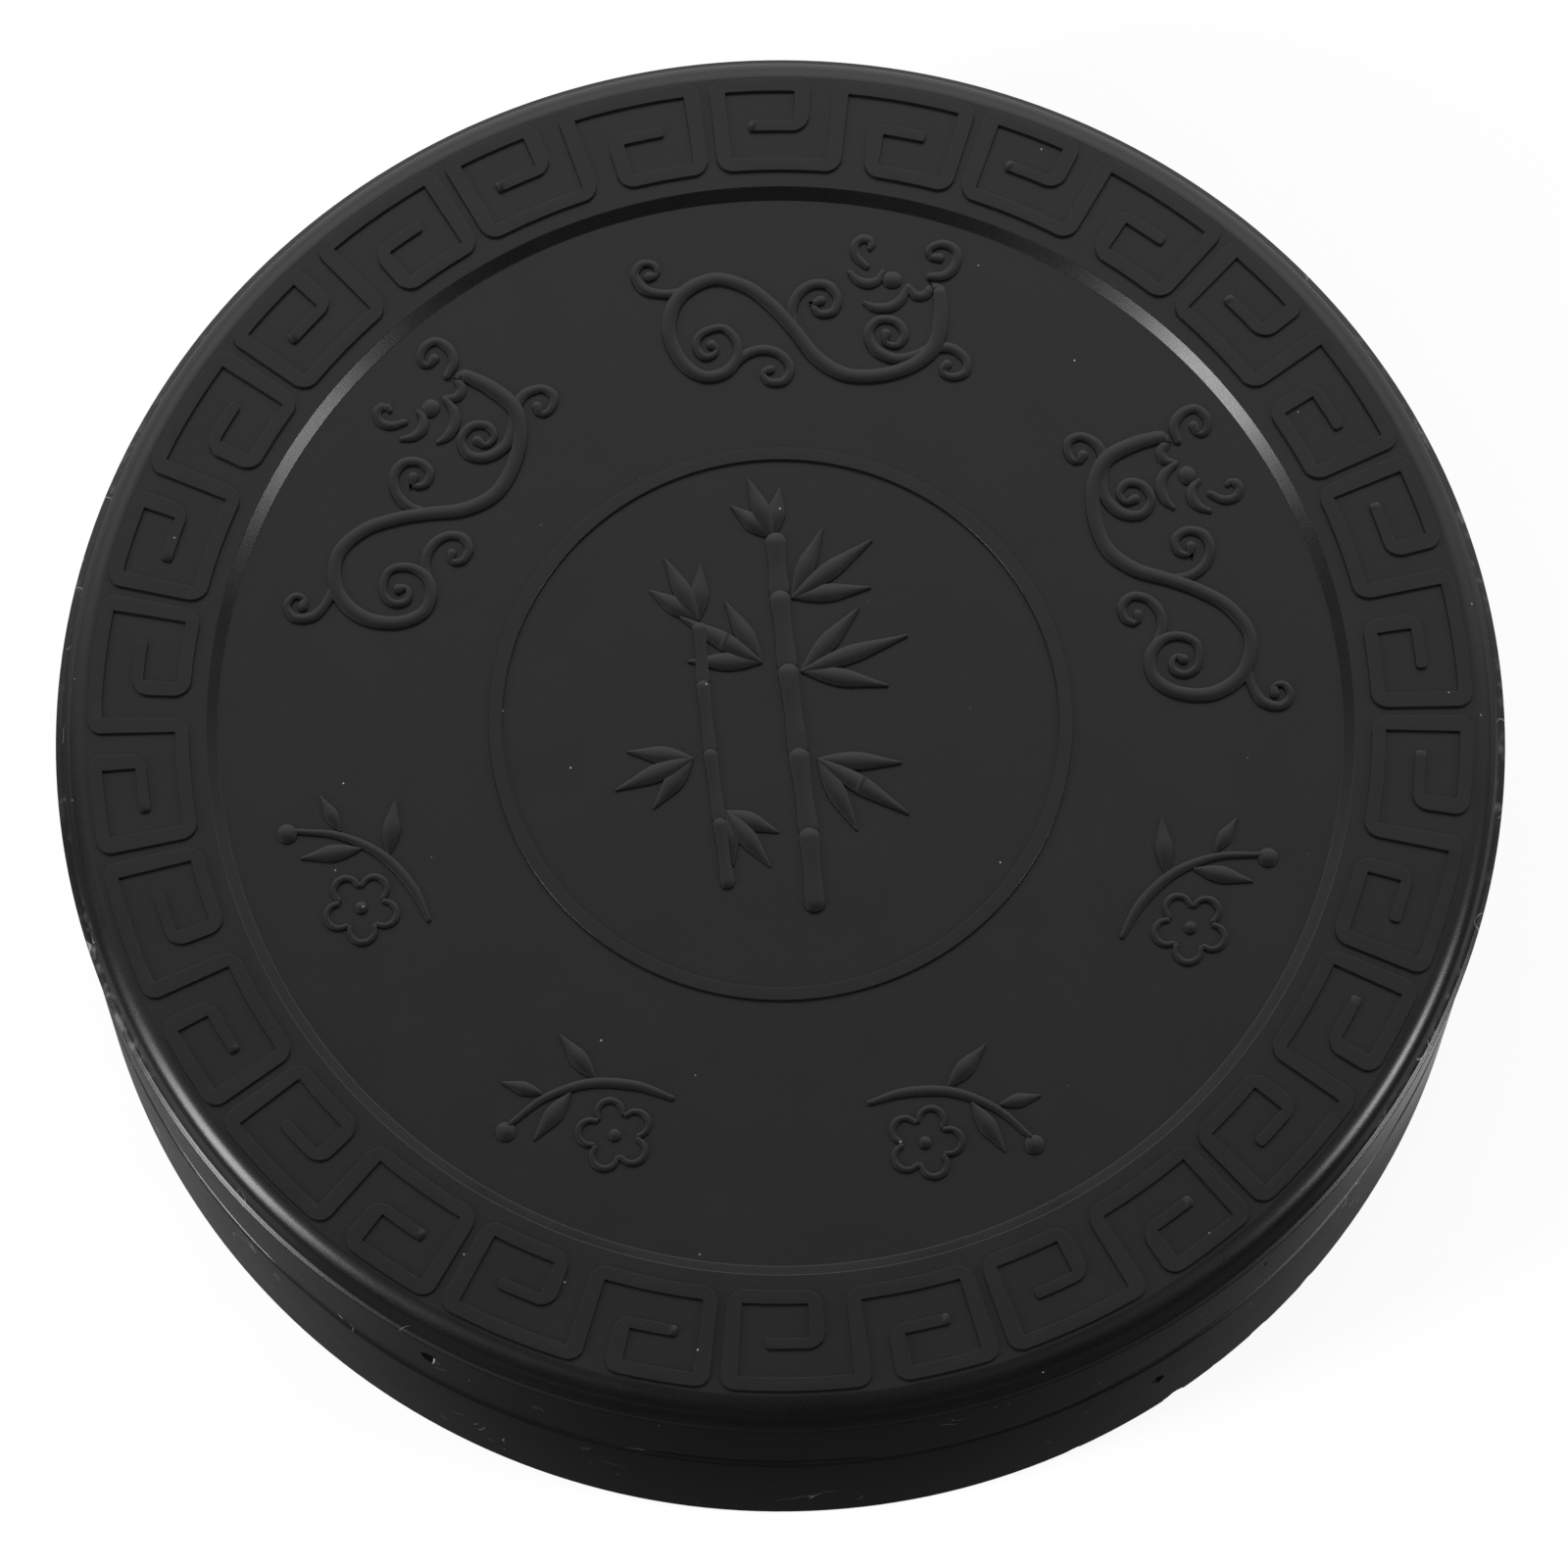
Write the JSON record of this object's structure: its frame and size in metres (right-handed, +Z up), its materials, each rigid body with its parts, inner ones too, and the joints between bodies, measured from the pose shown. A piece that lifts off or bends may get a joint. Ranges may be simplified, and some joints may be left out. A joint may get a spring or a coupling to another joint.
{
  "type": "ink stone",
  "caption": "Round black ink stone: a dish with a sloping grinding bed and a crescent ink well, under a heavy lift-off lid with a meander border and low cloud scrolls.",
  "frame": {"origin": "centre of the foot's resting plane, under the stone's axis", "axes": "+Z up along the stone's axis, towards the lid; the ink well lies towards +Y and the lid is read from -Y"},
  "size_m": [0.1304, 0.1304, 0.0364],
  "materials": {
    "base_stone": "satin black, fine ground",
    "lid_stone": "satin black, moulded relief"
  },
  "bodies": {
    "base": {"base": "base_stone"},
    "lid": {"lid": "lid_stone"}
  },
  "joints": [
    {"name": "lid_lift", "type": "slide", "parent": "base", "child": "lid", "axis": [0, 0, 1], "range_m": [0, 0.06]}
  ]
}
